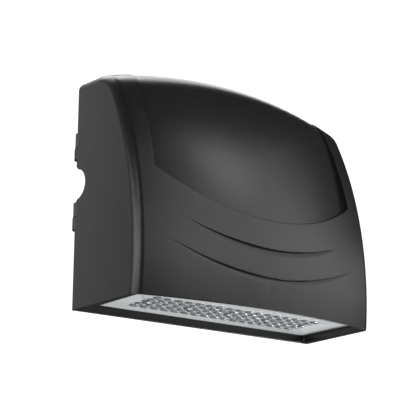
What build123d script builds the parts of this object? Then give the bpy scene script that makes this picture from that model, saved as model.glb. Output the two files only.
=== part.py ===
from build123d import *

import math
import os

# Full cut-off wall pack light: a cast box on the wall and a hinged cast cover that
# holds the driver above a light board, with a clear optics plate in its underside.
#
# Frame: X to the right as seen from the front, Y towards the wall, Z up.
# The origin is the middle of the wiring opening, on the wall face of the box.
# All sizes are millimetres.

# ---------------------------------------------------------------- cover, outside
cover_width = 305.0          # at the rear edge
cover_bottom = -128.0        # level of the lower rim
cover_side_height = 235.4    # of the rear edge at the sides
cover_crown_rise = 21.3      # the top arches up by this in the middle
cover_top_fall = 3.4         # degrees, the top falls towards the front
cover_draft = 2.26           # degrees, each side leans in towards the front
cover_wall = 3.2
rear_gap = 28.0              # from the wall to the rear edge of the cover
front_depth = 122.2          # from the rear edge to the foremost point
front_belly_height = 43.0    # of the foremost point above the lower rim
front_profile_radius = 400.0
front_plan_radius = 627.0
crown_round = 37.0           # rounding between the top and the front
corner_round = 10.0          # rounding between the front and each side

# ---------------------------------------------------------------- sunk shield panel
panel_half_width = 130.5     # at the foremost plane of the cover
panel_wall_draft = 6.5       # degrees
panel_corner_height = 127.0  # of the two lower corners above the lower rim
panel_bottom_radius = 242.0
panel_middle_sink = 1.3      # depth of the step in the middle of the lower edge
panel_corner_sink = 7.7      # at the two lower corners
panel_crown_sink = 2.4       # beside the top, where the front turns into the crown
panel_top_sink = 0.8         # on top, in the middle
panel_crown_radius = 560.0

# ---------------------------------------------------------------- crescent grooves
crescent_depth = 2.1
crescent_a_top = 61.0        # heights of the arcs in the middle plane, above the rim
crescent_a_base = 54.4
crescent_a_half = 101.0
crescent_a_tip = 79.5
crescent_b_top = 32.0
crescent_b_base = 26.2
crescent_b_half = 120.0
crescent_b_tip = 57.5

# ---------------------------------------------------------------- lens pocket, deck
rim_side = 8.2               # width of the lower rim at the sides
rim_front = 4.0
rim_rear = 3.7
pocket_round = 3.0           # of the pocket's corners
lens_recess = 7.9            # from the rim up to the face of the optics plate
lens_plate = 3.0
lens_clearance = 0.6         # around the optics plate
optic_columns = 17
optic_rows = 5
optic_pitch_x = 12.5
optic_pitch_y = 10.4
optic_length = 10.4          # along X
optic_width = 8.6            # along Y
optic_rise = 2.4
optic_taper = 38.0           # degrees
optic_field_middle = 50.0    # from the rear edge of the cover to the middle row
screw_column_step = 4        # every fourth place of the middle row is a screw boss
seal_height = 1.2
seal_width = 3.0
board_thickness = 1.6
board_margin = 6.0
pad_thickness = 0.5
emitter_side = 3.0
emitter_height = 0.7
deck_thickness = 5.0

# ---------------------------------------------------------------- side notches
notch_radius = 16.0
notch_lip = 3.0

# ---------------------------------------------------------------- back box
box_width = 232.0
box_bottom = -94.0
box_top = 84.0
box_depth = 50.0
box_wall = 3.0
box_floor = 4.0
box_corner = 10.0
box_rim_width = 8.0
gasket_thickness = 3.0
gasket_width = 6.0
wiring_hole = 28.0           # diameter of the opening in the wall face
conduit_hub = 30.0           # outside diameter of each threaded hub
conduit_bore = 19.6          # inside diameter of the half-inch pipe thread
hub_height = 5.0
plug_slot = 2.4
ground_place = (-70.0, -60.0)
pin_floor = 2.0              # of the blind hole of a hinge pin
wall_hole = 6.5              # holes for the wall screws
wall_hole_spacing_x = 180.0
wall_hole_spacing_z = 130.0
box_hole = 4.8               # holes that match a flush wiring box
box_hole_spacing = 83.0

# ---------------------------------------------------------------- hinges
hinge_pin_radius = 2.0
hinge_fit = 0.1
knuckle_radius = 4.0
arm_knuckle_radius = 4.6
hinge_axis_rear = 2.5        # the axis lies this far behind the rear edge
knuckle_length = 15.0
arm_knuckle_length = 12.5
knuckle_gap = 0.8
hinge_levels = (39.6, -33.6)  # meeting planes of the two hinges
arm_thickness = 6.0

# ---------------------------------------------------------------- closing screws
ear_reach = 13.0             # of the screw axis outside the side of the cover
ear_radius = 8.0
ear_thickness = 8.0
closing_levels = (33.0, -42.0)
screw_radius = 2.5
screw_fit = 0.35
screw_thread_fit = 0.2
screw_neck_radius = 1.8
screw_head_radius = 4.75
screw_head_height = 4.0
screw_thread = 6.4           # length of the threaded end
eye_depth = 8.0              # length of the threaded eye in the box
retainer_radius = 4.4
retainer_thickness = 1.0

# ---------------------------------------------------------------- driver room
pan_thickness = 1.5
pan_screw_length = 10.0
pan_clearance = 0.3          # between the pan and the gasket
pan_side_gap = 1.0
boss_radius = 5.0
boss_levels = (-94.0, -5.0, 74.0)
small_screw_radius = 2.1     # clearance hole of a small screw
thread_radius = 1.9          # of a small screw
screw_seat = 0.05            # between a small screw and its thread
lens_screw_hole = 2.3
small_head_radius = 3.8
small_head_height = 2.6
driver_length = 150.0
driver_height = 42.0
driver_depth = 30.0
driver_level = -62.0         # middle of the driver
driver_tab = 12.0            # length of each mounting tab
driver_tab_thickness = 2.0
pan_flange = 8.0             # depth of the turned rim of the pan
pan_top = 95.0
lead_radius = 1.1
lead_hole_radius = 5.0
lead_x = -122.0
lead_bend = 4.5              # radius of each turn
lead_drop = 12.0             # of the slanted run from the driver to the deck
grommet_neck = 1.8
terminal_size = (34.0, 14.0, 16.0)
terminal_pitch = 7.0
terminal_screw_radius = 1.4
port_radius = 2.0            # wire ports of the terminal block
port_depth = 5.0
clamp_radius = 1.8           # wells of its clamping screws
clamp_depth = 4.0
terminal_place = (38.0, 42.0)
gland_place = (-30.0, 20.0)
gland_hole_radius = 6.0
gland_flange = 2.2
gland_lip = 1.6

# ---------------------------------------------------------------- levels and planes
gap = 0.3                    # between faces of pieces that move against each other
rear_edge = -rear_gap
front_apex = rear_edge - front_depth
plan_axis = front_apex + front_plan_radius
belly_level = cover_bottom + front_belly_height
lens_face = cover_bottom + lens_recess
lens_top = lens_face + lens_plate
board_bottom = lens_top + seal_height
board_top = board_bottom + board_thickness
deck_bottom = board_top + pad_thickness
deck_top = deck_bottom + deck_thickness
optic_middle = rear_edge - optic_field_middle
lead_y = optic_middle - 32.0
arm_front = rear_edge + gap
hub_depth = rear_edge
pan_rear = -box_depth - gasket_thickness - pan_clearance
pan_front = pan_rear - pan_thickness
hinge_x = knuckle_radius - cover_width / 2
hinge_y = rear_edge + hinge_axis_rear
ear_x = cover_width / 2 + ear_reach
pin_length = knuckle_length + arm_knuckle_length + knuckle_gap - 3.0
pan_half = cover_width / 2 - cover_wall - pan_side_gap - 1.5
boss_x = pan_half - pan_thickness - pan_side_gap - boss_radius

NODES = {}


def keep(name, shape):
    """File a finished piece under its node name."""
    NODES[name] = shape
    return shape


def cylinder_along(axis, radius, start, length):
    """Cylinder of a length that starts at a point and runs along X, Y, Z or back."""
    plane = Plane(origin=start, z_dir=axis)
    return extrude(plane * Circle(radius), length)


# ---------------------------------------------------------------- front cover
def front_ring(plan_radius, apex, inset):
    """Part of a ring about a far vertical axis; its skin is the bulged front face."""
    radius = front_profile_radius - inset
    middle = apex + front_profile_radius
    low = belly_level - 60.0
    high = belly_level + 250.0
    rise_low = belly_level - low
    rise_high = high - belly_level
    start = (middle - math.sqrt(radius**2 - rise_low**2), low)
    end = (middle - math.sqrt(radius**2 - rise_high**2), high)
    rear = 40.0
    outline = Curve() + [
        ThreePointArc(start, (middle - radius, belly_level), end),
        Polyline(end, (rear, high), (rear, low), start),
    ]
    profile = make_face(Plane.YZ * outline)
    axis = Axis((0, apex + plan_radius, 0), (0, 0, 1))
    return revolve(profile.rotate(axis, -40.0), axis, 80.0)


def side_wedge(inset):
    """Block between the two drafted sides."""
    reach = front_depth + 20.0
    half_rear = cover_width / 2 - inset
    half_front = half_rear - reach * math.tan(math.radians(cover_draft))
    half_back = half_rear + rear_gap * math.tan(math.radians(cover_draft))
    plan = Polyline(
        (-half_back, 0),
        (half_back, 0),
        (half_front, rear_edge - reach),
        (-half_front, rear_edge - reach),
        close=True,
    )
    height = cover_side_height + cover_crown_rise + 20.0
    return extrude(Plane.XY.offset(cover_bottom) * make_face(plan), height)


def arch_prism(crown_radius, crown_level, inset):
    """Prism under the arched top, which falls towards the front."""
    half = cover_width / 2 + 5.0
    radius = crown_radius - inset
    centre = crown_level - crown_radius
    edge = centre + math.sqrt(radius**2 - half**2)
    low = cover_bottom - 80.0
    outline = Curve() + [
        ThreePointArc((-half, edge), (0, centre + radius), (half, edge)),
        Polyline((half, edge), (half, low), (-half, low), (-half, edge)),
    ]
    face = make_face(Plane.XZ * outline)
    fall = math.tan(math.radians(cover_top_fall))
    lift = Pos(0, 40.0, (40.0 + rear_gap) * fall)
    return extrude(lift * face, 240.0, dir=(0, -1, -fall))


def round_crown(block, radius):
    """Round the long edge where the arched top meets the front."""
    crown = [
        edge
        for edge in block.edges()
        if abs(edge.center().X) < 1.0
        and edge.center().Z > cover_side_height / 2 + cover_bottom
        and edge.center().Y < rear_edge - 20
        and edge.length > cover_width / 2
    ]
    return fillet(crown, radius)


def cover_block(inset):
    """The bulged body between sides, front and arched top."""
    half = cover_width / 2
    rise = cover_crown_rise
    crown_radius = (half**2 + rise**2) / (2 * rise)
    crown_level = cover_bottom + cover_side_height + rise
    ring = front_ring(front_plan_radius, front_apex, inset)
    block = side_wedge(inset) & ring & arch_prism(crown_radius, crown_level, inset)
    rear = rear_edge if inset == 0 else rear_edge + 1.0
    block = split(block, Plane.XZ.offset(-rear), keep=Keep.TOP)
    block = round_crown(block, crown_round - inset)
    sides = [
        edge
        for edge in block.edges()
        if abs(edge.center().X) > cover_width / 2 - 12.0
        and edge.center().Y < rear_edge - 1
        and edge.center().Z > cover_bottom + 1
    ]
    return fillet(sides, corner_round - inset)


def panel_prism(inset):
    """Everything inside the shield outline, tapered like the walls of the panel."""
    half = panel_half_width + inset
    corner = cover_bottom + panel_corner_height - inset
    sagitta = panel_bottom_radius - math.sqrt(panel_bottom_radius**2 - half**2)
    top = cover_bottom + cover_side_height + 60.0
    outline = Curve() + [
        ThreePointArc((-half, corner), (0, corner - sagitta), (half, corner)),
        Polyline((half, corner), (half, top), (-half, top), (-half, corner)),
    ]
    face = make_face(Plane.XZ.offset(-front_apex + 12.0) * outline)
    return extrude(face, -150.0, taper=panel_wall_draft)


def panel_section(level, inset):
    """Plan of the panel's body at a level; beside the middle it sinks below the front."""
    corner = cover_bottom + panel_corner_height
    crown = cover_bottom + cover_side_height - crown_round / 2
    share = (level - corner) / (crown - corner)
    side_sink = panel_corner_sink + (panel_crown_sink - panel_corner_sink) * share
    side = surface_y(panel_half_width, level) + side_sink + inset
    apex = surface_y(0, level) + panel_middle_sink + inset
    sagitta = side - apex
    radius = (panel_half_width**2 + sagitta**2) / (2 * sagitta)
    half = panel_half_width + 15.0
    end = apex + radius - math.sqrt(radius**2 - half**2)
    outline = Curve() + [
        ThreePointArc((-half, end), (0, apex), (half, end)),
        Polyline((half, end), (half, 40.0), (-half, 40.0), (-half, end)),
    ]
    return Plane.XY.offset(level) * make_face(outline)


def panel_block(inset):
    """Body whose skin is the sunk face of the shield panel, lofted through its plans."""
    crown_level = cover_bottom + cover_side_height + cover_crown_rise - panel_top_sink
    low = cover_bottom + panel_corner_height - 75.0
    high = crown_level + 25.0
    steps = 4
    levels = [low + (high - low) * step / steps for step in range(steps + 1)]
    body = loft([panel_section(level, inset) for level in levels])
    block = body & arch_prism(panel_crown_radius, crown_level, inset)
    return round_crown(block, crown_round - inset)


def cover_outside():
    """Bulged block with the sunk shield panel."""
    return cover_block(0) - (panel_prism(0) - panel_block(0))


def surface_y(x, z):
    """Where the bulged front lies, at a place across and a level."""
    radius = front_plan_radius - front_profile_radius
    radius = radius + math.sqrt(front_profile_radius**2 - (z - belly_level) ** 2)
    return plan_axis - math.sqrt(radius**2 - x**2)


def crescent(top, base, half, tip):
    """Cutter of a crescent groove: a square step above, a ramp back out below."""
    stations = 4
    sections = []
    for index in range(2 * stations + 1):
        share = (index - stations) / stations
        x = half * math.sin(share * math.pi / 2)
        level_top = cover_bottom + top + (tip - top) * (x / half) ** 2
        level_base = cover_bottom + base + (tip - 0.4 - base) * (x / half) ** 2
        depth = crescent_depth * (1 - (x / half) ** 2) - 0.05
        inner = (x, surface_y(x, level_top) + depth, level_top)
        lower = (x, surface_y(x, level_base) - 0.02, level_base)
        outer_low = (x, surface_y(x, level_base) - 3.0, level_base)
        outer_top = (x, surface_y(x, level_top) - 3.0, level_top)
        sections.append(make_face(Polyline(inner, lower, outer_low, outer_top, close=True)))
    return loft(sections)


def pocket_plan(side, rear, front, inset):
    """Plan of a room inside the lower rim, with the bow of the front."""
    half = cover_width / 2 - side - inset
    back = rear_edge - rear - inset
    bow = front_plan_radius - front - inset
    corner = plan_axis - math.sqrt(bow**2 - half**2)
    apex = plan_axis - bow
    outline = Curve() + [
        Line((-half, back), (half, back)),
        Line((half, back), (half, corner)),
        ThreePointArc((half, corner), (0, apex), (-half, corner)),
        Line((-half, corner), (-half, back)),
    ]
    face = make_face(outline)
    if inset >= pocket_round:
        return face
    return fillet(face.vertices(), pocket_round - inset)


def cover_inside():
    """Room above the deck, which follows the outside at the wall's thickness."""
    room = cover_block(cover_wall)
    raised = panel_prism(cover_wall) - panel_block(cover_wall)
    room = room - raised
    above = Plane.XY.offset(deck_top)
    return split(room, above, keep=Keep.TOP)


def closing_ear(level):
    """Ear on the right side that carries a captive screw."""
    start = (ear_x, rear_edge - ear_thickness, level)
    ear = cylinder_along((0, 1, 0), ear_radius, start, ear_thickness)
    root = ear_reach + cover_wall - 1.0
    web = Pos(ear_x - root / 2, rear_edge - ear_thickness / 2, level)
    return ear + web * Box(root, ear_thickness, 2 * ear_radius)


def ear_holes(level):
    """Clearance hole of a captive screw and the seat of its retaining ring."""
    hole_radius = screw_radius + screw_fit
    start = (ear_x, rear_edge - ear_thickness - 1, level)
    hole = cylinder_along((0, 1, 0), hole_radius, start, ear_thickness + 2)
    seat = cylinder_along((0, 1, 0), retainer_radius + 0.05, start, retainer_thickness + 1)
    return hole + seat


def cover_knuckle(meeting):
    """Knuckle of the cover: a barrel flush with the side, above the meeting plane."""
    low = meeting + knuckle_gap / 2
    barrel = cylinder_along((0, 0, 1), knuckle_radius, (hinge_x, hinge_y, low), knuckle_length)
    reach = hinge_axis_rear + 4.0
    web = Pos(hinge_x - knuckle_radius / 2, hinge_y - reach / 2, low + knuckle_length / 2)
    return barrel + web * Box(knuckle_radius, reach, knuckle_length)


def arm_relief(meeting):
    """Space in the side's rear edge round the knuckle of the box."""
    low = meeting - knuckle_gap / 2 - arm_knuckle_length
    radius = arm_knuckle_radius + 0.8
    height = arm_knuckle_length + 1.2
    return cylinder_along((0, 0, 1), radius, (hinge_x, hinge_y, low - 0.8), height)


def side_notch(side):
    """Half-round notch in the rear edge of a side, with flared lips."""
    start = (side * (cover_width / 2 + 4.0), rear_edge, 0)
    reach = cover_wall + 8.0
    hole = cylinder_along((-side, 0, 0), notch_radius, start, reach)
    mouth_half = notch_radius + notch_lip
    flare = Polyline(
        (rear_edge + 0.5, -mouth_half),
        (rear_edge - notch_lip, -notch_radius + 0.25),
        (rear_edge - notch_lip, notch_radius - 0.25),
        (rear_edge + 0.5, mouth_half),
        close=True,
    )
    flare_face = Plane.YZ.offset(side * (cover_width / 2 + 4.0)) * make_face(flare)
    return hole + extrude(flare_face, reach, dir=(-side, 0, 0))


def pan_boss(x, z):
    """Pillar for a pan screw, cast on to the wall behind it."""
    start = (x, pan_front, z)
    return cylinder_along((0, -1, 0), boss_radius, start, front_depth)


def boss_places():
    """Places of the pan screws: a column near each side."""
    return [(side * boss_x, level) for side in (-1, 1) for level in boss_levels]


def front_cover():
    """The cast cover that swings."""
    shell = cover_outside()
    shell = shell - crescent(crescent_a_top, crescent_a_base, crescent_a_half, crescent_a_tip)
    shell = shell - crescent(crescent_b_top, crescent_b_base, crescent_b_half, crescent_b_tip)
    outside = shell
    shell = shell - cover_inside()
    pocket = Plane.XY.offset(cover_bottom - 1) * pocket_plan(rim_side, rim_rear, rim_front, 0)
    shell = shell - extrude(pocket, deck_bottom - cover_bottom + 1)
    for x, z in boss_places():
        shell = shell + (pan_boss(x, z) & outside)
    for x, z in boss_places():
        start = (x, pan_front + 1, z)
        shell = shell - cylinder_along((0, -1, 0), small_screw_radius, start, 12.0)
    for meeting in hinge_levels:
        shell = shell + cover_knuckle(meeting)
    for meeting in hinge_levels:
        low = meeting - 2.0
        bore = hinge_pin_radius + hinge_fit
        depth = pin_length - arm_knuckle_length + 3.0
        shell = shell - cylinder_along((0, 0, 1), bore, (hinge_x, hinge_y, low), depth)
        shell = shell - arm_relief(meeting)
    for level in closing_levels:
        shell = shell + closing_ear(level)
    for level in closing_levels:
        shell = shell - ear_holes(level)
    for side in (-1, 1):
        shell = shell - side_notch(side)
    for x, y in lens_screw_places():
        start = (x, y, deck_bottom - 1)
        shell = shell - cylinder_along((0, 0, 1), small_screw_radius, start, deck_thickness + 2)
    start = (lead_x, lead_y, deck_bottom - 1)
    shell = shell - cylinder_along((0, 0, 1), lead_hole_radius, start, deck_thickness + 2)
    return shell


# ---------------------------------------------------------------- optics and light board

def optic_places():
    """Middles of the optics, without the places of the screw bosses."""
    places = []
    for row in range(optic_rows):
        for column in range(optic_columns):
            if row == optic_rows // 2 and column % screw_column_step == 0:
                continue
            x = (column - (optic_columns - 1) / 2) * optic_pitch_x
            y = optic_middle + (row - (optic_rows - 1) / 2) * optic_pitch_y
            places.append((x, y))
    return places


def lens_screw_places():
    """Middles of the screw bosses in the middle row."""
    places = []
    for column in range(0, optic_columns, screw_column_step):
        places.append(((column - (optic_columns - 1) / 2) * optic_pitch_x, optic_middle))
    return places


def optic():
    """One moulded optic: an oval bump under the plate, drawn with eight flats."""
    half_x = optic_length / 2
    half_y = optic_width / 2
    cut = optic_width / 4
    outline = Polyline(
        (half_x, cut - half_y),
        (half_x, half_y - cut),
        (half_x - cut, half_y),
        (cut - half_x, half_y),
        (-half_x, half_y - cut),
        (-half_x, cut - half_y),
        (cut - half_x, -half_y),
        (half_x - cut, -half_y),
        close=True,
    )
    return extrude(make_face(outline), -optic_rise, taper=optic_taper)


def lens_array():
    """Clear plate with a field of optics and screw bosses."""
    plan = Plane.XY.offset(lens_face) * pocket_plan(rim_side, rim_rear, rim_front, lens_clearance)
    plate = extrude(plan, lens_plate)
    bump = optic()
    bumps = [Pos(x, y, lens_face) * bump for x, y in optic_places()]
    plate = plate + bumps
    for x, y in lens_screw_places():
        start = (x, y, lens_face - 1)
        plate = plate - cylinder_along((0, 0, 1), lens_screw_hole, start, lens_plate + 2)
    return plate


def lens_gasket():
    """Rubber ring between the optics plate and the light board's deck."""
    outer = pocket_plan(rim_side, rim_rear, rim_front, lens_clearance)
    inner = pocket_plan(rim_side, rim_rear, rim_front, lens_clearance + seal_width)
    height = deck_bottom - lens_top
    return extrude(Plane.XY.offset(lens_top) * (outer - inner), height)


def board_plan():
    """Plan of the light board, inside the rubber ring."""
    half_x = optic_columns * optic_pitch_x / 2 + board_margin
    half_y = optic_rows * optic_pitch_y / 2 + board_margin
    return Pos(0, optic_middle) * RectangleRounded(2 * half_x, 2 * half_y, 3.0)


def thermal_pad():
    """Soft sheet that carries the heat of the board to the deck."""
    sheet = extrude(Plane.XY.offset(board_top) * board_plan(), pad_thickness)
    for x, y in lens_screw_places():
        sheet = sheet - cylinder_along((0, 0, 1), lens_screw_hole, (x, y, board_top - 1), 3.0)
    return sheet


def led_board():
    """Metal-cored board with holes for the lens screws."""
    board = extrude(Plane.XY.offset(board_bottom) * board_plan(), board_thickness)
    for x, y in lens_screw_places():
        board = board - cylinder_along((0, 0, 1), lens_screw_hole, (x, y, board_bottom - 1), 4.0)
    return board


def led_emitters():
    """One small emitter above each optic."""
    level = board_bottom - emitter_height / 2
    package = Box(emitter_side, emitter_side, emitter_height)
    return [Pos(x, y, level) * package for x, y in optic_places()]


def headed_screw(direction, seat, length, shank_radius, head_radius, head_height):
    """Pan-headed screw: its head stands on the seat and its shank runs on."""
    back = tuple(-value for value in direction)
    head = cylinder_along(back, head_radius, seat, head_height)
    far = Vector(*seat) + Vector(*back) * head_height
    rim = [edge for edge in head.edges().filter_by(GeomType.CIRCLE) if (edge.arc_center - far).length < 0.01]
    head = chamfer(rim, head_height * 0.35)
    shank = cylinder_along(direction, shank_radius, seat, length)
    recess_start = far - Vector(*back) * head_height * 0.5
    recess = cylinder_along(back, head_radius * 0.42, recess_start, head_height)
    return head + shank - recess


def small_screw(direction, seat, length):
    """One of the small screws that hold the inner pieces."""
    return headed_screw(direction, seat, length, thread_radius, small_head_radius, small_head_height)


def lens_screws():
    """Screws through optics plate, board and pad into the deck."""
    length = deck_top - lens_face - 1.0
    return [small_screw((0, 0, 1), (x, y, lens_face), length) for x, y in lens_screw_places()]


# ---------------------------------------------------------------- driver room
def gear_pan():
    """Pressed plate with a turned rim that closes the driver room."""
    half = pan_half
    low = deck_top + pan_side_gap
    plan = Plane.XZ.offset(-pan_rear) * Pos(0, (low + pan_top) / 2)
    plate = extrude(plan * RectangleRounded(2 * half, pan_top - low, 6.0), pan_thickness)
    stiff = extrude(plan * RectangleRounded(2 * half, pan_top - low, 6.0), pan_flange)
    stiff_inner = RectangleRounded(2 * half - 2 * pan_thickness, pan_top - low - 2 * pan_thickness, 4.5)
    plate = plate + (stiff - extrude(plan * stiff_inner, pan_flange))
    for x, z in boss_places():
        start = (x, pan_rear + 1, z)
        plate = plate - cylinder_along((0, -1, 0), small_screw_radius + 0.3, start, 4.0)
    x, z = gland_place
    plate = plate - cylinder_along((0, -1, 0), gland_hole_radius, (x, pan_rear + 1, z), 4.0)
    for x, z in driver_screw_places():
        plate = plate - cylinder_along((0, -1, 0), thread_radius + screw_seat, (x, pan_rear + 1, z), 4.0)
    for x, z in terminal_screw_places():
        bore = terminal_screw_radius + screw_seat
        plate = plate - cylinder_along((0, -1, 0), bore, (x, pan_rear + 1, z), 4.0)
    return plate


def pan_screws():
    """Screws that hold the pan on the pillars of the cover."""
    return [small_screw((0, -1, 0), (x, pan_rear, z), pan_screw_length) for x, z in boss_places()]


def driver_screw_places():
    """One screw through each mounting tab of the driver."""
    reach = driver_length / 2 + driver_tab / 2
    return [(-reach, driver_level), (reach, driver_level)]


def driver():
    """Power supply: a closed metal case with a mounting tab at each end."""
    middle = pan_front - driver_depth / 2
    case = Pos(0, middle, driver_level) * Box(driver_length, driver_depth, driver_height)
    case = fillet(case.edges().filter_by(Axis.X), 2.0)
    length = driver_length + 2 * driver_tab
    tab = Pos(0, pan_front - driver_tab_thickness / 2, driver_level)
    case = case + tab * Box(length, driver_tab_thickness, driver_height - 10.0)
    for x, z in driver_screw_places():
        case = case - cylinder_along((0, -1, 0), thread_radius + 0.4, (x, pan_front + 1, z), 6.0)
    return case


def driver_screws():
    """Screws from the pan's rear into clinched nuts on the driver's tabs."""
    length = pan_thickness + driver_tab_thickness + 1.5
    return [small_screw((0, -1, 0), (x, pan_rear, z), length) for x, z in driver_screw_places()]


def pan_grommet():
    """Rubber grommet in the pan, where the supply wires pass."""
    x, z = gland_place
    lip = gland_hole_radius + gland_lip
    rear_lip = cylinder_along((0, 1, 0), lip, (x, pan_rear, z), gland_flange)
    neck = cylinder_along((0, -1, 0), gland_hole_radius, (x, pan_rear, z), pan_thickness)
    front_lip = cylinder_along((0, -1, 0), lip, (x, pan_front, z), gland_flange)
    bore = cylinder_along((0, -1, 0), gland_hole_radius - 2.5, (x, pan_rear + gland_flange + 1, z), 12.0)
    return rear_lip + neck + front_lip - bore


def terminal_screw_places():
    """Two screws at the ends of the terminal block."""
    x, z = terminal_place
    reach = terminal_size[0] / 2 - 3.5
    return [(x - reach, z), (x + reach, z)]


def supply_terminal():
    """Terminal block on the rear of the pan, with three wire ports on each long side."""
    width, depth, height = terminal_size
    x, z = terminal_place
    block = Pos(x, pan_rear + depth / 2, z) * Box(width, depth, height)
    block = fillet(block.edges().filter_by(Axis.Y), 1.5)
    for place in (-1, 0, 1):
        for side in (-1, 1):
            start = (x + place * terminal_pitch, pan_rear + depth * 0.6, z + side * (height / 2 + 1))
            block = block - cylinder_along((0, 0, -side), port_radius, start, port_depth + 1)
        start = (x + place * terminal_pitch, pan_rear + depth + 1, z)
        block = block - cylinder_along((0, -1, 0), clamp_radius, start, clamp_depth + 1)
    for px, pz in terminal_screw_places():
        bore = terminal_screw_radius + 0.3
        block = block - cylinder_along((0, 1, 0), bore, (px, pan_rear - 1, pz), depth + 2)
    return block


def terminal_screws():
    """Two long screws that hold the terminal block on the pan."""
    screws = []
    depth = terminal_size[1]
    for x, z in terminal_screw_places():
        seat = (x, pan_rear + depth, z)
        length = depth + pan_thickness + 2.0
        screws.append(headed_screw((0, -1, 0), seat, length, terminal_screw_radius, 2.6, 1.8))
    return screws


# ---------------------------------------------------------------- leads to the board
def lead_route(side):
    """Middle line of one of the two wires, from the driver's end to the board's edge."""
    shift = side * (lead_radius + 0.15)
    lay = board_bottom + 0.5
    start_level = driver_level - 8.0
    board_edge = -optic_columns * optic_pitch_x / 2 - board_margin
    depth = pan_front - driver_depth / 2
    corners = [
        (-driver_length / 2, depth + shift, start_level),
        (lead_x + lead_drop, depth + shift, start_level),
        (lead_x, lead_y + shift, start_level - lead_drop),
        (lead_x, lead_y + shift, lay),
        (board_edge - 0.05, lead_y + shift, lay),
    ]
    return FilletPolyline(*corners, radius=lead_bend)


def led_leads():
    """Pair of wires from the driver down through the deck."""
    wires = []
    for side in (-1, 1):
        route = lead_route(side)
        section = Plane(origin=route @ 0, z_dir=route % 0) * Circle(lead_radius)
        wires.append(sweep(section, route))
    return wires


def lead_grommet():
    """Rubber grommet in the deck round the two wires."""
    lip = lead_hole_radius + gland_lip
    top = cylinder_along((0, 0, 1), lip, (lead_x, lead_y, deck_top), gland_flange)
    neck = cylinder_along((0, 0, -1), lead_hole_radius, (lead_x, lead_y, deck_top), grommet_neck)
    body = top + neck
    for side in (-1, 1):
        y = lead_y + side * (lead_radius + 0.15)
        start = (lead_x, y, deck_bottom - 1)
        body = body - cylinder_along((0, 0, 1), lead_radius, start, deck_thickness + gland_flange + 2)
    return body


# ---------------------------------------------------------------- back box
def box_level():
    """Middle height of the back box."""
    return (box_bottom + box_top) / 2


def box_block(width, height, radius, start, depth):
    """Rounded block that runs from a plane towards the front."""
    plan = Plane.XZ.offset(-start) * Pos(0, box_level())
    return extrude(plan * RectangleRounded(width, height, radius), depth)


def wall_hole_places():
    """Places of the four wall screws."""
    half_x = wall_hole_spacing_x / 2
    half_z = wall_hole_spacing_z / 2
    return [(sx * half_x, sz * half_z) for sx in (-1, 1) for sz in (-1, 1)]


def hub_starts():
    """Start and direction of each threaded hub, on the outside of the box."""
    half = box_width / 2
    return [
        ((-half, hub_depth, 0), (-1, 0, 0)),
        ((half, hub_depth, 0), (1, 0, 0)),
        ((0, hub_depth, box_top), (0, 0, 1)),
    ]


def hinge_arm(meeting):
    """Arm from the box to a hinge, with the knuckle that holds the pin."""
    top = meeting - knuckle_gap / 2
    low = top - arm_knuckle_length
    barrel = cylinder_along((0, 0, 1), arm_knuckle_radius, (hinge_x, hinge_y, low), arm_knuckle_length)
    left = hinge_x
    right = 2.0 - box_width / 2
    rear = arm_front + arm_thickness
    plan = Polyline(
        (left, arm_front),
        (right, arm_front),
        (right, rear + 8.0),
        (right - 8.0, rear),
        (left, rear),
        close=True,
    )
    web = extrude(Plane.XY.offset(low) * make_face(plan), arm_knuckle_length)
    return barrel + web


def closing_arm(level):
    """Arm from the box to a closing screw, with its threaded eye."""
    plan = Polyline(
        (box_width / 2 - 2.0, arm_front),
        (ear_x, arm_front),
        (ear_x, arm_front + eye_depth),
        (box_width / 2 + 8.0, arm_front + eye_depth),
        (box_width / 2 - 2.0, arm_front + eye_depth + 8.0),
        close=True,
    )
    low = level - ear_radius
    web = extrude(Plane.XY.offset(low) * make_face(plan), 2 * ear_radius)
    eye = cylinder_along((0, 1, 0), ear_radius, (ear_x, arm_front, level), eye_depth)
    return web + eye


def back_box():
    """Cast box that is screwed to the wall and carries the cover."""
    height = box_top - box_bottom
    shell = box_block(box_width, height, box_corner, 0, box_depth)
    inner_width = box_width - 2 * box_wall
    inner_height = height - 2 * box_wall
    room = box_block(inner_width, inner_height, box_corner - box_wall, -box_floor, box_depth)
    shell = shell - room
    rim = box_block(box_width, height, box_corner, 4.0 - box_depth, 4.0)
    mouth = box_width - 2 * box_rim_width
    rim = rim - box_block(mouth, height - 2 * box_rim_width, 4.0, 5.0 - box_depth, 6.0)
    shell = shell + rim
    for start, direction in hub_starts():
        shell = shell + cylinder_along(direction, conduit_hub / 2, start, hub_height)
    for meeting in hinge_levels:
        shell = shell + hinge_arm(meeting)
    for level in closing_levels:
        shell = shell + closing_arm(level)
    x, z = ground_place
    shell = shell + cylinder_along((0, -1, 0), 6.0, (x, -box_floor, z), 5.0)
    shell = shell - cylinder_along((0, 1, 0), thread_radius + screw_seat, (x, -box_floor - 6, z), 9.0)
    for start, direction in hub_starts():
        inward = tuple(-value for value in direction)
        far = Vector(*start) + Vector(*direction) * (hub_height + 1)
        shell = shell - cylinder_along(inward, conduit_bore / 2, far, hub_height + box_wall + 3)
    shell = shell - cylinder_along((0, -1, 0), wiring_hole / 2, (0, 1, 0), box_floor + 2)
    for x, z in wall_hole_places():
        shell = shell - cylinder_along((0, -1, 0), wall_hole / 2, (x, 1, z), box_floor + 2)
    for side in (-1, 1):
        start = (side * box_hole_spacing / 2, 1, 0)
        shell = shell - cylinder_along((0, -1, 0), box_hole / 2, start, box_floor + 2)
    for meeting in hinge_levels:
        low = meeting - knuckle_gap / 2 - arm_knuckle_length
        start = (hinge_x, hinge_y, low + pin_floor)
        shell = shell - cylinder_along((0, 0, 1), hinge_pin_radius, start, arm_knuckle_length)
    for level in closing_levels:
        start = (ear_x, arm_front - 1, level)
        bore = screw_radius + screw_thread_fit
        shell = shell - cylinder_along((0, 1, 0), bore, start, eye_depth + 2)
    return shell


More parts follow.
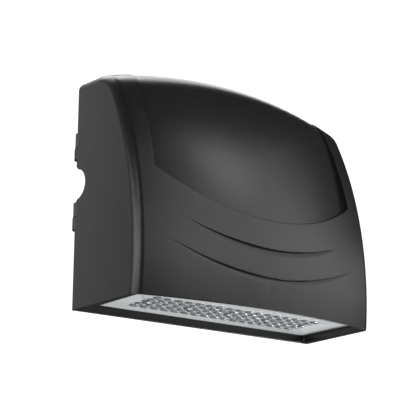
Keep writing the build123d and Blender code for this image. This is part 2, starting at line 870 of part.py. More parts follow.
def box_gasket():
    """Rubber ring on the rim of the box, which the pan closes against."""
    height = box_top - box_bottom
    ring = box_block(box_width - 2, height - 2, box_corner - 1, -box_depth, gasket_thickness)
    width = 2 * gasket_width + 2
    hole = box_block(box_width - width, height - width, 4.0, 1 - box_depth, gasket_thickness + 2)
    return ring - hole


def conduit_plugs():
    """Threaded plugs with a screwdriver slot, one in each hub."""
    plugs = []
    for start, direction in hub_starts():
        seat = Vector(*start) + Vector(*direction) * hub_height
        inward = tuple(-value for value in direction)
        head = cylinder_along(direction, conduit_bore / 2 + 2.5, seat, 2.5)
        neck = cylinder_along(inward, conduit_bore / 2, seat, hub_height + box_wall)
        far = seat + Vector(*direction) * 2.5
        long = [plug_slot if abs(value) > 0.5 else conduit_bore for value in direction]
        long[1] = plug_slot
        slot = Pos(far.X, far.Y, far.Z) * Box(*long)
        plugs.append(head + neck - slot)
    return plugs


def hinge_pins():
    """Pins pressed into the knuckles of the box; the cover's knuckles turn on them."""
    pins = []
    for meeting in hinge_levels:
        low = meeting - knuckle_gap / 2 - arm_knuckle_length + pin_floor
        top = low + pin_length - pin_floor
        pin = cylinder_along((0, 0, 1), hinge_pin_radius, (hinge_x, hinge_y, low), top - low)
        rim = [edge for edge in pin.edges() if edge.center().Z > top - 0.1]
        pins.append(chamfer(rim, 0.6))
    return pins


def ground_washer():
    """Toothed washer under the head of the earth screw."""
    x, z = ground_place
    seat = (x, -box_floor - 5.0, z)
    washer = cylinder_along((0, -1, 0), 4.6, seat, 0.8)
    return washer - cylinder_along((0, -1, 0), thread_radius + 0.2, (x, seat[1] + 1, z), 3.0)


def ground_screw():
    """Earth screw in its boss."""
    x, z = ground_place
    seat = (x, -box_floor - 5.8, z)
    return small_screw((0, 1, 0), seat, 8.0)


# ---------------------------------------------------------------- closing screws
def closing_screw(level):
    """Captive screw: thin neck through the ear, thread in the eye of the box."""
    seat = (ear_x, rear_edge - ear_thickness - gap, level)
    neck_length = ear_thickness
    neck = screw_neck_radius
    body = headed_screw((0, 1, 0), seat, neck_length, neck, screw_head_radius, screw_head_height)
    start = (ear_x, seat[1] + neck_length, level)
    thread = cylinder_along((0, 1, 0), screw_radius, start, screw_thread)
    rim = thread.edges().filter_by(GeomType.CIRCLE).sort_by(Axis.Y)[-1:]
    return body + chamfer(rim, 0.5)


def screw_retainers():
    """Rings in the ears; the threads are too thick to leave through them."""
    rings = []
    for level in closing_levels:
        start = (ear_x, rear_edge - ear_thickness, level)
        ring = cylinder_along((0, 1, 0), retainer_radius, start, retainer_thickness)
        start = (ear_x, rear_edge - ear_thickness - 1, level)
        hole_radius = screw_neck_radius + screw_fit
        rings.append(ring - cylinder_along((0, 1, 0), hole_radius, start, retainer_thickness + 2))
    return rings


def main():
    """Build every piece and write its file."""
    keep("front_cover", front_cover())
    keep("lens_array", lens_array())
    keep("lens_gasket", lens_gasket())
    keep("lens_screws", Compound(lens_screws()))
    keep("thermal_pad", thermal_pad())
    keep("led_board", led_board())
    keep("led_emitters", Compound(led_emitters()))
    keep("led_leads", Compound(led_leads()))
    keep("lead_grommet", lead_grommet())
    keep("gear_pan", gear_pan())
    keep("pan_screws", Compound(pan_screws()))
    keep("pan_grommet", pan_grommet())
    keep("driver", driver())
    keep("driver_screws", Compound(driver_screws()))
    keep("supply_terminal", supply_terminal())
    keep("terminal_screws", Compound(terminal_screws()))
    keep("back_box", back_box())
    keep("box_gasket", box_gasket())
    keep("conduit_plugs", Compound(conduit_plugs()))
    keep("hinge_pins", Compound(hinge_pins()))
    keep("ground_washer", ground_washer())
    keep("ground_screw", ground_screw())
    keep("screw_retainers", Compound(screw_retainers()))
    for name, level in zip(("upper", "lower"), closing_levels):
        keep(f"closing_screw_{name}", closing_screw(level))
    os.makedirs("parts", exist_ok=True)
    for name, shape in NODES.items():
        export_step(shape, f"parts/{name}.step")


if __name__ == "__main__":
    main()
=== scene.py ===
import math

import bmesh
import bpy
from mathutils import Matrix, Vector


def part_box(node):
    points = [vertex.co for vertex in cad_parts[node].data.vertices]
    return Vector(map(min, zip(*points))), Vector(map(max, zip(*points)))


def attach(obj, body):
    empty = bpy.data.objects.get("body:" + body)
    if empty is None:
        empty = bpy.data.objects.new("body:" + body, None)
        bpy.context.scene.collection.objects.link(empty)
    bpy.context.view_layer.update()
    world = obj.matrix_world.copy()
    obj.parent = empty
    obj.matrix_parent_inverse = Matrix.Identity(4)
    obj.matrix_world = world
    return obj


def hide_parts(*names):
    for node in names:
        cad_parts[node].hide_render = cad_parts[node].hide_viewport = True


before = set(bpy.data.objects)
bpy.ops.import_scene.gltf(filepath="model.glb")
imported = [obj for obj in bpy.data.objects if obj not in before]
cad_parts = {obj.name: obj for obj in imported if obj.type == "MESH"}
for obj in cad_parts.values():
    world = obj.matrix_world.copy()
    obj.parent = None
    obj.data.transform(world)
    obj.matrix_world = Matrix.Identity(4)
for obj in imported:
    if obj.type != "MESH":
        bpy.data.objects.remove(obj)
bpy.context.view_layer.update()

bl_info = {
    "name": "Wall Pack Light",
    "version": (1, 0, 0),
    "blender": (4, 5, 0),
    "location": "View3D > Sidebar > Wall Light",
    "description": "Dresses the packed model of a hinged outdoor wall light",
    "category": "Object",
}

MM = 0.001
MERGE = 1e-6            # vertices closer than this are one
SHARP_ANGLE = 35.0      # degrees; edges sharper than this stay sharp on plate and screws
EMITTER_ANGLE = 40.0
UNTURNED = (0.0, 0.0, 0.0)


# ---------------------------------------------------------------- sizes and colours
class WallLightSizes(bpy.types.PropertyGroup):
    """Sizes that a user would change, in metres."""

    optic_columns: bpy.props.IntProperty(
        name="Optic columns", description="Optics in a row of the field", default=17, min=1)
    optic_rows: bpy.props.IntProperty(
        name="Optic rows", description="Rows of optics in the field", default=5, min=1)
    screw_step: bpy.props.IntProperty(
        name="Screw step", description="Every so many places of the middle row hold a screw",
        default=4, min=1)
    optic_pitch_x: bpy.props.FloatProperty(
        name="Pitch across", description="From optic to optic along a row", default=12.5 * MM,
        subtype="DISTANCE")
    optic_pitch_y: bpy.props.FloatProperty(
        name="Pitch in depth", description="From row to row", default=10.4 * MM, subtype="DISTANCE")
    optic_length: bpy.props.FloatProperty(
        name="Optic length", description="Of one oval optic, along the row", default=10.4 * MM,
        subtype="DISTANCE")
    optic_width: bpy.props.FloatProperty(
        name="Optic width", description="Of one oval optic, across the row", default=8.6 * MM,
        subtype="DISTANCE")
    optic_rise: bpy.props.FloatProperty(
        name="Optic rise", description="How far an optic stands out of its plate", default=2.4 * MM,
        subtype="DISTANCE")
    optic_middle: bpy.props.FloatProperty(
        name="Field middle", description="Depth of the middle row, from the wall", default=-78.0 * MM,
        subtype="DISTANCE")
    plate_thickness: bpy.props.FloatProperty(
        name="Plate thickness", description="Of the optics plate", default=3.0 * MM, subtype="DISTANCE")
    bow_radius: bpy.props.FloatProperty(
        name="Bow radius", description="Of the plate's front edge", default=622.4 * MM, subtype="DISTANCE")
    emitter_side: bpy.props.FloatProperty(
        name="Emitter side", description="Of one light-emitting package", default=3.0 * MM,
        subtype="DISTANCE")
    edge_round: bpy.props.FloatProperty(
        name="Edge rounding", description="Radius that the coat gives the casting's edges", default=1.3 * MM,
        subtype="DISTANCE")
    plate_corner: bpy.props.FloatProperty(
        name="Plate corner", description="Corner radius of the optics plate", default=2.4 * MM,
        subtype="DISTANCE")


class WallLightColours(bpy.types.PropertyGroup):
    """Finish of the pieces, as sRGB hex values."""

    coat: bpy.props.StringProperty(name="Coat", description="Black powder coat", default="1A1B1D")
    plate: bpy.props.StringProperty(name="Optics", description="Clear moulded acrylic", default="F3F6F8")
    mask: bpy.props.StringProperty(name="Board", description="White solder mask", default="DDE0DF")
    phosphor: bpy.props.StringProperty(name="Phosphor", description="Unlit phosphor", default="D9B84A")
    steel: bpy.props.StringProperty(name="Steel", description="Stainless steel", default="B9BABA")
    zinc: bpy.props.StringProperty(name="Zinc", description="Galvanised sheet", default="AEB2B4")


# ---------------------------------------------------------------- small helpers
def linear(hex_value):
    """Turn an sRGB hex value into opaque linear colour."""
    parts = [int(hex_value[i:i + 2], 16) / 255 for i in (0, 2, 4)]
    return tuple(p / 12.92 if p <= 0.04045 else ((p + 0.055) / 1.055) ** 2.4 for p in parts) + (1.0,)


def add(tree, kind, settings=None, values=None, links=None):
    """Add a node with its settings, socket values and incoming links."""
    node = tree.nodes.new(kind)
    for key, value in (settings or {}).items():
        setattr(node, key, value)
    for key, value in (values or {}).items():
        node.inputs[key].default_value = value
    for key, source in (links or {}).items():
        tree.links.new(source, node.inputs[key])
    return node


def new_material(name):
    """Start a material with an empty node tree, and return the tree."""
    material = bpy.data.materials.new(name)
    material.use_nodes = True
    material.node_tree.nodes.clear()
    return material.node_tree


def finish_shader(tree, shader, bump=None):
    """Send the shader to the output, with the bump in its normal."""
    if bump:
        tree.links.new(bump.outputs[0], shader.inputs["Normal"])
    add(tree, "ShaderNodeOutputMaterial", links={"Surface": shader.outputs[0]})


def tint(tree, factor, low, high, ends=(0.35, 0.65)):
    """Colour ramp between two hex colours, driven by a pattern."""
    ramp = add(tree, "ShaderNodeValToRGB", links={"Fac": factor})
    for element, position, colour in zip(ramp.color_ramp.elements, ends, (low, high)):
        element.position = position
        element.color = linear(colour)
    return ramp.outputs["Color"]


def spread(tree, factor, low, high):
    """Map a pattern's 0 to 1 on a range of values."""
    node = add(tree, "ShaderNodeMapRange", values={"To Min": low, "To Max": high},
               links={"Value": factor})
    return node.outputs["Result"]


def grain(tree, size, detail=3.0, stretch=None):
    """Noise whose grains measure about size metres, on object coordinates."""
    place = add(tree, "ShaderNodeTexCoord").outputs["Object"]
    if stretch:
        mapping = add(tree, "ShaderNodeMapping", values={"Scale": stretch}, links={"Vector": place})
        place = mapping.outputs[0]
    noise = add(tree, "ShaderNodeTexNoise",
                values={"Scale": 1.0 / size, "Detail": detail},
                links={"Vector": place})
    return noise.outputs["Fac"]


def bumps(tree, height, distance, strength):
    """Bump of a real height in metres."""
    return add(tree, "ShaderNodeBump", values={"Distance": distance, "Strength": strength},
               links={"Height": height})


# ---------------------------------------------------------------- materials
def powder_coat():
    """Fine-textured polyester powder coat, baked on die-cast aluminium."""
    # An even satin black with a leathery grain of half a millimetre.
    # The coat rounds every edge of the casting.
    colours = bpy.context.scene.wall_light_colours
    sizes = bpy.context.scene.wall_light_sizes
    tree = new_material("powder_coat_black")
    fine = grain(tree, 0.55 * MM, detail=2.0)
    cloud = grain(tree, 18 * MM, detail=2.0)
    edges = add(tree, "ShaderNodeBevel", settings={"samples": 6}, values={"Radius": sizes.edge_round})
    leather = bumps(tree, fine, 0.02 * MM, 0.3)
    tree.links.new(edges.outputs[0], leather.inputs["Normal"])
    shader = add(tree, "ShaderNodeBsdfPrincipled",
                 values={"IOR": 1.5},
                 links={"Base Color": tint(tree, cloud, colours.coat, "1E1F21"),
                        "Roughness": spread(tree, fine, 0.27, 0.33)})
    finish_shader(tree, shader, leather)


def clear_acrylic():
    """Acrylic optics, injection moulded in a polished tool."""
    # Milky where the plate is flat, clearer in the domes, with sharp glints on each of them. The domes are
    # also painted a darker grey: painted shade standing in for the dark that clear domes show, not a colour
    # of the acrylic.
    colours = bpy.context.scene.wall_light_colours
    sizes = bpy.context.scene.wall_light_sizes
    milky, clear = 0.12, 0.6
    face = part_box("lens_array")[1].z - sizes.plate_thickness
    tree = new_material("clear_acrylic")
    place = add(tree, "ShaderNodeTexCoord").outputs["Object"]
    level = add(tree, "ShaderNodeSeparateXYZ", links={"Vector": place}).outputs["Z"]
    # Mask: low on the flat plate, high in the domes; it sets how clear they are, and also the painted shade
    # of the domes.
    dome_clear_and_shaded = add(tree, "ShaderNodeMapRange",
               values={"From Min": face - 0.1 * MM, "From Max": face - 0.7 * MM,
                       "To Min": milky, "To Max": clear},
               links={"Value": level}).outputs["Result"]
    flow = grain(tree, 6 * MM, detail=1.0)
    shader = add(tree, "ShaderNodeBsdfPrincipled",
                 values={"IOR": 1.49},
                 # Painted shade: the domes get the darker grey B4BABE, the flat plate keeps the plate
                 # colour.
                 links={"Base Color": tint(tree, dome_clear_and_shaded, colours.plate, "B4BABE", (milky, clear)),
                        "Transmission Weight": dome_clear_and_shaded,
                        "Roughness": spread(tree, flow, 0.06, 0.12)})
    finish_shader(tree, shader, bumps(tree, flow, 0.05 * MM, 0.08))


def solder_mask():
    """Glossy white solder mask over the copper of a metal-cored board."""
    # White, with faint tracks round each emitter and a little orange peel.
    colours = bpy.context.scene.wall_light_colours
    sizes = bpy.context.scene.wall_light_sizes
    tree = new_material("white_solder_mask")
    place = add(tree, "ShaderNodeTexCoord").outputs["Object"]
    tracks = add(tree, "ShaderNodeTexBrick",
                 settings={"offset": 0.0},
                 values={"Scale": 1.0, "Brick Width": sizes.optic_pitch_x,
                         "Row Height": sizes.optic_pitch_y, "Mortar Size": 0.5 * MM,
                         "Color1": linear(colours.mask), "Color2": linear("D6DAD9"),
                         "Mortar": linear("C9CECC")},
                 links={"Vector": place})
    peel = grain(tree, 0.8 * MM)
    shader = add(tree, "ShaderNodeBsdfPrincipled",
                 links={"Base Color": tracks.outputs["Color"],
                        "Roughness": spread(tree, peel, 0.25, 0.4)})
    finish_shader(tree, shader, bumps(tree, peel, 0.03 * MM, 0.2))


def phosphor():
    """Yellow phosphor under clear silicone, in a white package."""
    # Waxy yellow under a clear shine.
    colours = bpy.context.scene.wall_light_colours
    tree = new_material("phosphor_silicone")
    specks = grain(tree, 0.25 * MM)
    shader = add(tree, "ShaderNodeBsdfPrincipled",
                 values={"Coat Weight": 0.5},
                 links={"Base Color": tint(tree, specks, colours.phosphor, "E3C766"),
                        "Roughness": spread(tree, specks, 0.3, 0.5)})
    finish_shader(tree, shader)


def rubber(name, low, high):
    """Moulded silicone rubber."""
    # Dull, with a dusty bloom.
    tree = new_material(name)
    bloom = grain(tree, 1.2 * MM, detail=4.0)
    shader = add(tree, "ShaderNodeBsdfPrincipled",
                 links={"Base Color": tint(tree, bloom, low, high),
                        "Roughness": spread(tree, bloom, 0.6, 0.8)})
    finish_shader(tree, shader, bumps(tree, bloom, 0.05 * MM, 0.3))


def stainless():
    """Cold-headed stainless steel of the screws and pins."""
    # Bright with short turned marks.
    colours = bpy.context.scene.wall_light_colours
    tree = new_material("stainless_steel")
    marks = grain(tree, 0.6 * MM, detail=5.0, stretch=(1.0, 1.0, 6.0))
    shader = add(tree, "ShaderNodeBsdfPrincipled",
                 values={"Metallic": 1.0},
                 links={"Base Color": tint(tree, marks, "8F9090", colours.steel),
                        "Roughness": spread(tree, marks, 0.22, 0.38)})
    finish_shader(tree, shader, bumps(tree, marks, 0.02 * MM, 0.15))


def galvanised():
    """Hot-dip galvanised sheet with its spangle."""
    # Flat crystals of a centimetre, each a slightly different grey.
    colours = bpy.context.scene.wall_light_colours
    tree = new_material("galvanised_sheet")
    place = add(tree, "ShaderNodeTexCoord").outputs["Object"]
    spangle = add(tree, "ShaderNodeTexVoronoi", values={"Scale": 1.0 / (9 * MM)},
                  links={"Vector": place})
    grey = add(tree, "ShaderNodeSeparateColor", links={"Color": spangle.outputs["Color"]}).outputs["Red"]
    fine = grain(tree, 0.8 * MM)
    shader = add(tree, "ShaderNodeBsdfPrincipled",
                 values={"Metallic": 0.85},
                 links={"Base Color": tint(tree, grey, "9DA1A3", colours.zinc, (0.0, 1.0)),
                        "Roughness": spread(tree, grey, 0.32, 0.5)})
    finish_shader(tree, shader, bumps(tree, fine, 0.02 * MM, 0.2))


def enamel():
    """White stoved enamel on the driver's steel case."""
    # A neutral off-white with a soft shine and a faint orange peel.
    tree = new_material("white_enamel")
    peel = grain(tree, 1.5 * MM, detail=1.0)
    shader = add(tree, "ShaderNodeBsdfPrincipled",
                 links={"Base Color": tint(tree, peel, "D6D8D8", "E2E4E4"),
                        "Roughness": spread(tree, peel, 0.28, 0.4)})
    finish_shader(tree, shader, bumps(tree, peel, 0.04 * MM, 0.2))


def moulded(name, low, high, dull):
    """Injection-moulded plastic with a spark-eroded grain; the dyed screw looks much the same."""
    # Satin, with a fine even grain that breaks up the highlights.
    tree = new_material(name)
    sparks = grain(tree, 0.4 * MM, detail=3.0)
    shader = add(tree, "ShaderNodeBsdfPrincipled",
                 links={"Base Color": tint(tree, sparks, low, high),
                        "Roughness": spread(tree, sparks, dull, dull + 0.12)})
    finish_shader(tree, shader, bumps(tree, sparks, 0.03 * MM, 0.25))


def build_materials():
    """Make every finish once; the pieces look them up by name."""
    powder_coat()
    clear_acrylic()
    solder_mask()
    phosphor()
    rubber("silicone_rubber_black", "17181A", "232425")
    rubber("heat_pad_grey", "7C8187", "8B9096")
    stainless()
    galvanised()
    enamel()
    moulded("pbt_terminal", "CFCCC0", "DAD7CC", 0.42)
    moulded("nylon_plug_black", "141516", "1D1E1F", 0.35)
    moulded("wire_insulation_red", "7E1414", "8E1B19", 0.3)
    moulded("green_dyed_steel", "1C5A2C", "24693A", 0.3)


# ---------------------------------------------------------------- making meshes
def linked(name, data):
    """New object of the scene with this mesh, curve, lamp or camera."""
    item = bpy.data.objects.new(name, data)
    bpy.context.scene.collection.objects.link(item)
    return item


def evaluated_mesh(item):
    """Plain mesh of an object with its modifiers or curve settings applied."""
    bpy.context.view_layer.update()
    evaluated = item.evaluated_get(bpy.context.evaluated_depsgraph_get())
    return bpy.data.meshes.new_from_object(evaluated)


def mesh_object(name, mesh, body):
    """Link a finished mesh and let it ride on its body."""
    piece = linked(name, mesh)
    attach(piece, body)
    return piece


def lathe(profile, turns):
    """Closed solid of revolution about Z, from (radius, height) points."""
    form = bmesh.new()
    rings = []
    for radius, height in profile:
        if radius == 0.0:
            rings.append([form.verts.new((0, 0, height))])
            continue
        ring = []
        for step in range(turns):
            angle = 2 * math.pi * step / turns
            ring.append(form.verts.new((radius * math.cos(angle), radius * math.sin(angle), height)))
        rings.append(ring)
    for lower, upper in zip(rings, rings[1:]):
        for step in range(turns):
            ahead = (step + 1) % turns
            if len(lower) == 1:
                form.faces.new((lower[0], upper[ahead], upper[step]))
            elif len(upper) == 1:
                form.faces.new((lower[step], lower[ahead], upper[0]))
            else:
                form.faces.new((lower[step], lower[ahead], upper[ahead], upper[step]))
    bmesh.ops.recalc_face_normals(form, faces=form.faces)
    return form


def to_mesh(form, name, smooth=None):
    """Turn a form into a mesh; edges sharper than the angle stay sharp."""
    for face in form.faces:
        face.smooth = smooth is not None
    mesh = bpy.data.meshes.new(name)
    form.to_mesh(mesh)
    form.free()
    if smooth is not None:
        mesh.set_sharp_from_angle(angle=math.radians(smooth))
    return mesh


def repeat_tree(name, joined):
    """Node tree that puts a piece at each point, with a turn and a size, and gives it its finish."""
    tree = bpy.data.node_groups.new(name, "GeometryNodeTree")
    face = tree.interface
    face.new_socket("Geometry", in_out="INPUT", socket_type="NodeSocketGeometry")
    face.new_socket("Piece", in_out="INPUT", socket_type="NodeSocketObject")
    face.new_socket("Turn", in_out="INPUT", socket_type="NodeSocketRotation")
    face.new_socket("Size", in_out="INPUT", socket_type="NodeSocketFloat")
    face.new_socket("Finish", in_out="INPUT", socket_type="NodeSocketMaterial")
    if joined:
        face.new_socket("Plate", in_out="INPUT", socket_type="NodeSocketObject")
    face.new_socket("Geometry", in_out="OUTPUT", socket_type="NodeSocketGeometry")
    inputs = add(tree, "NodeGroupInput")
    source = add(tree, "GeometryNodeObjectInfo", links={"Object": inputs.outputs["Piece"]})
    placed = add(tree, "GeometryNodeInstanceOnPoints",
                 links={"Points": inputs.outputs["Geometry"], "Instance": source.outputs["Geometry"],
                        "Rotation": inputs.outputs["Turn"], "Scale": inputs.outputs["Size"]})
    real = add(tree, "GeometryNodeRealizeInstances", links={"Geometry": placed.outputs[0]})
    result = real.outputs[0]
    if joined:
        plate = add(tree, "GeometryNodeObjectInfo", links={"Object": inputs.outputs["Plate"]})
        union = add(tree, "GeometryNodeMeshBoolean", settings={"operation": "UNION", "solver": "EXACT"})
        tree.links.new(plate.outputs["Geometry"], union.inputs["Mesh 2"])
        tree.links.new(result, union.inputs["Mesh 2"])
        result = union.outputs["Mesh"]
    finished = add(tree, "GeometryNodeSetMaterial",
                   links={"Geometry": result, "Material": inputs.outputs["Finish"]})
    add(tree, "NodeGroupOutput", links={"Geometry": finished.outputs[0]})
    return tree


def repeated(name, places, template, turn, finish, smooth, plate=None):
    """One plain mesh of a piece repeated at its places, joined to the plate if there is one."""
    mesh = bpy.data.meshes.new(name + "_places")
    mesh.from_pydata([tuple(place) for place in places], [], [])
    holder = linked(name + "_places", mesh)
    source = linked(name + "_one", template)
    kind = "repeat_on_plate" if plate else "repeat_at_places"
    tree = bpy.data.node_groups.get(kind) or repeat_tree(kind, bool(plate))
    modifier = holder.modifiers.new("repeat", "NODES")
    modifier.node_group = tree
    wanted = {"Piece": source, "Turn": turn, "Size": 1.0, "Finish": bpy.data.materials[finish],
              "Plate": plate}
    for item in tree.interface.items_tree:
        if item.in_out == "INPUT" and item.name in wanted:
            modifier[item.identifier] = wanted[item.name]
    holder.update_tag()
    result = evaluated_mesh(holder)
    result.name = name
    holder.modifiers.clear()
    for item in (holder, source, plate):
        if item:
            bpy.data.objects.remove(item)
    if not result.polygons:
        raise RuntimeError(name + " came out empty")
    for polygon in result.polygons:
        polygon.use_smooth = True
    result.set_sharp_from_angle(angle=math.radians(smooth))
    return result


# ---------------------------------------------------------------- optics
PLATE_HOLE = 2.3 * MM       # radius of the plate's screw holes
PLATE_EDGE = 0.35 * MM      # rounding of the plate's edges
EMITTER_EDGE = 0.15 * MM    # bevel of a package's edges


def field_places(with_screws):
    """Middles of the optics, or of the screw bosses, in the plane of the plate."""
    sizes = bpy.context.scene.wall_light_sizes
    places = []
    for row in range(sizes.optic_rows):
        for column in range(sizes.optic_columns):
            boss = row == sizes.optic_rows // 2 and column % sizes.screw_step == 0
            if boss == with_screws:
                x = (column - (sizes.optic_columns - 1) / 2) * sizes.optic_pitch_x
                y = sizes.optic_middle + (row - (sizes.optic_rows - 1) / 2) * sizes.optic_pitch_y
                places.append((x, y))
    return places


def optic_dome():
    """One oval optic with a saddle in its middle, hanging down; its foot is sunk in the plate."""
    sizes = bpy.context.scene.wall_light_sizes
    half_x = sizes.optic_length / 2
    half_y = sizes.optic_width / 2
    steps = 28              # vertices round the oval
    squareness = 0.85       # below 1 the oval grows fuller corners
    dent = 0.22             # depth of the saddle, as a share of the rise
    dent_width = 0.45       # of half the length
    foot_depth = 0.5 * MM   # how far it is sunk in the plate
    form = bmesh.new()
    rings = []
    for share in (1.0, 0.97, 0.9, 0.79, 0.64, 0.46, 0.24):
        ring = []
        for step in range(steps):
            angle = 2 * math.pi * step / steps
            x = half_x * share * math.copysign(abs(math.cos(angle)) ** squareness, math.cos(angle))
            y = half_y * share * math.copysign(abs(math.sin(angle)) ** squareness, math.sin(angle))
            saddle = 1 - dent * math.exp(-((x / (dent_width * half_x)) ** 2)) * (1 - share ** 4)
            drop = sizes.optic_rise * (1 - share ** 2.6) ** 0.7 * saddle
            ring.append(form.verts.new((x, y, -drop)))
        rings.append(ring)
    foot = [form.verts.new((v.co.x, v.co.y, foot_depth)) for v in rings[0]]
    rings.insert(0, foot)
    for lower, upper in zip(rings, rings[1:]):
        for step in range(steps):
            ahead = (step + 1) % steps
            form.faces.new((lower[step], lower[ahead], upper[ahead], upper[step]))
    tip = form.verts.new((0, 0, -sizes.optic_rise * (1 - dent)))
    for step in range(steps):
        form.faces.new((rings[-1][step], rings[-1][(step + 1) % steps], tip))
    form.faces.new(foot)
    bmesh.ops.recalc_face_normals(form, faces=form.faces)
    return to_mesh(form, "optic_dome", 60.0)


def flat_plate(name, outline, holes, low, high, round_edge):
    """Plate of a plan outline with round holes, its edges rounded."""
    around = 24     # vertices round a hole
    curve = bpy.data.curves.new(name, "CURVE")
    curve.dimensions = "2D"
    curve.fill_mode = "BOTH"
    curve.extrude = (high - low) / 2 - round_edge
    curve.bevel_depth = round_edge
    curve.bevel_resolution = 2
    curve.offset = -round_edge
    loops = [outline]
    for x, y, radius in holes:
        turns = [2 * math.pi * i / around for i in range(around)]
        loops.append([(x + radius * math.cos(turn), y - radius * math.sin(turn)) for turn in turns])
    for loop in loops:
        spline = curve.splines.new("POLY")
        spline.points.add(len(loop) - 1)
        for point, (x, y) in zip(spline.points, loop):
            point.co = (x, y, 0, 1)
        spline.use_cyclic_u = True
    holder = linked(name, curve)
    mesh = evaluated_mesh(holder)
    bpy.data.objects.remove(holder)
    form = bmesh.new()
    form.from_mesh(mesh)
    bmesh.ops.translate(form, vec=(0, 0, (low + high) / 2), verts=form.verts)
    bmesh.ops.remove_doubles(form, verts=form.verts, dist=MERGE)
    bmesh.ops.recalc_face_normals(form, faces=form.faces)
    form.to_mesh(mesh)
    form.free()
    mesh.name = name
    return mesh


def bowed_outline(half, rear, apex, radius, corner):
    """Plan of the plate: straight rear and ends, bowed front, rounded corners."""
    centre = apex + radius
    limit = math.asin(half / radius)
    bow_steps = 48
    corner_steps = 6
    points = [Vector((half, rear)), Vector((-half, rear))]
    for step in range(bow_steps + 1):
        angle = -limit + 2 * limit * step / bow_steps
        points.append(Vector((radius * math.sin(angle), centre - radius * math.cos(angle))))
    outline = []
    for index, point in enumerate(points):
        if index not in (0, 1, 2, len(points) - 1):
            outline.append(tuple(point))
            continue
        back = (points[index - 1] - point).normalized()
        ahead = (points[(index + 1) % len(points)] - point).normalized()
        reach = corner / math.tan(back.angle(ahead) / 2)
        for step in range(corner_steps + 1):
            share = step / corner_steps
            outline.append(tuple(point + back * reach * (1 - share) ** 2 + ahead * reach * share ** 2))
    return outline


class OpticsPlate(bpy.types.Operator):
    """Make the clear optics plate with its field of oval domes."""

    bl_idname = "wall_light.optics_plate"
    bl_label = "Optics plate"

    def execute(self, context):
        sizes = context.scene.wall_light_sizes
        low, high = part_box("lens_array")
        face = high.z - sizes.plate_thickness
        outline = bowed_outline(high.x, high.y, low.y, sizes.bow_radius, sizes.plate_corner)
        holes = [(x, y, PLATE_HOLE) for x, y in field_places(True)]
        plate = linked("plate_blank", flat_plate("plate_blank", outline, holes, face, high.z, PLATE_EDGE))
        places = [(x, y, face) for x, y in field_places(False)]
        mesh = repeated("optics_plate", places, optic_dome(), UNTURNED, "clear_acrylic", SHARP_ANGLE, plate)
        piece = mesh_object("optics_plate", mesh, "door")
        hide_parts("lens_array")
        return {"FINISHED"}


class Emitters(bpy.types.Operator):
    """Make the light-emitting packages behind the optics."""

    bl_idname = "wall_light.emitters"
    bl_label = "Emitters"

    def execute(self, context):
        sizes = context.scene.wall_light_sizes
        low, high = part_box("led_emitters")
        form = bmesh.new()
        bmesh.ops.create_cube(form, size=1.0)
        bmesh.ops.scale(form, vec=(sizes.emitter_side, sizes.emitter_side, high.z - low.z),
                        verts=form.verts)
        bmesh.ops.bevel(form, geom=form.edges[:], offset=EMITTER_EDGE, segments=1, affect="EDGES")
        places = [(x, y, (low.z + high.z) / 2) for x, y in field_places(False)]
        mesh = repeated("emitters", places, to_mesh(form, "emitter_one"), UNTURNED,
                        "phosphor_silicone", EMITTER_ANGLE)
        piece = mesh_object("emitters", mesh, "door")
        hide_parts("led_emitters")
        return {"FINISHED"}


# ---------------------------------------------------------------- screws
# The recess, as shares of the head: its reach over the radius, and at the bottom;
# its arms' width over the radius; its height and the level of its middle over the head's height.
RECESS = {"reach": 1.15, "bottom": 0.45, "width": 0.22, "height": 1.1, "level": 0.95}


def cross_recess_screw(head_radius, head_height, shank_radius, length):
    """Pan-head screw along Z: the head's top looks down, the shank points up."""
    h = head_height
    r = head_radius
    form = lathe([
        (0.0, -h), (r * 0.45, -h * 0.985), (r * 0.72, -h * 0.9), (r * 0.9, -h * 0.68),
        (r * 0.985, -h * 0.4), (r, -h * 0.15), (r, 0.0), (shank_radius, 0.0),
        (shank_radius, length - shank_radius * 0.5), (shank_radius * 0.5, length), (0.0, length),
    ], turns=36)
    arm = bmesh.new()
    for turn in (0.0, math.pi / 2):
        made = bmesh.ops.create_cube(arm, size=1.0)
        for vertex in made["verts"]:
            taper = 1.0 if vertex.co.z < 0 else RECESS["bottom"]
            vertex.co = (vertex.co.x * r * RECESS["reach"] * taper,
                         vertex.co.y * r * RECESS["width"],
                         vertex.co.z * h * RECESS["height"] - h * RECESS["level"])
        bmesh.ops.rotate(arm, cent=(0, 0, 0), matrix=Matrix.Rotation(turn, 3, "Z"), verts=made["verts"])
    blank = linked("screw_blank", to_mesh(form, "screw_blank", SHARP_ANGLE))
    cutter = linked("recess", to_mesh(arm, "recess"))
    cut = blank.modifiers.new("recess", "BOOLEAN")
    cut.operation = "DIFFERENCE"
    cut.solver = "EXACT"
    cut.use_self = True
    cut.object = cutter
    result = evaluated_mesh(blank)
    bpy.data.objects.remove(blank)
    bpy.data.objects.remove(cutter)
    return result


def node_islands(node):
    """Boxes of the separate solids of a node."""
    form = bmesh.new()
    form.from_mesh(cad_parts[node].data)
    bmesh.ops.remove_doubles(form, verts=form.verts, dist=MERGE)
    form.verts.ensure_lookup_table()
    seen = set()
    boxes = []
    for start in form.verts:
        if start.index in seen:
            continue
        heap = [start]
        seen.add(start.index)
        low = start.co.copy()
        high = start.co.copy()
        while heap:
            vertex = heap.pop()
            low = Vector(map(min, low, vertex.co))
            high = Vector(map(max, high, vertex.co))
            for edge in vertex.link_edges:
                other = edge.other_vert(vertex)
                if other.index not in seen:
                    seen.add(other.index)
                    heap.append(other)
        boxes.append((low, high))
    form.free()
    return boxes


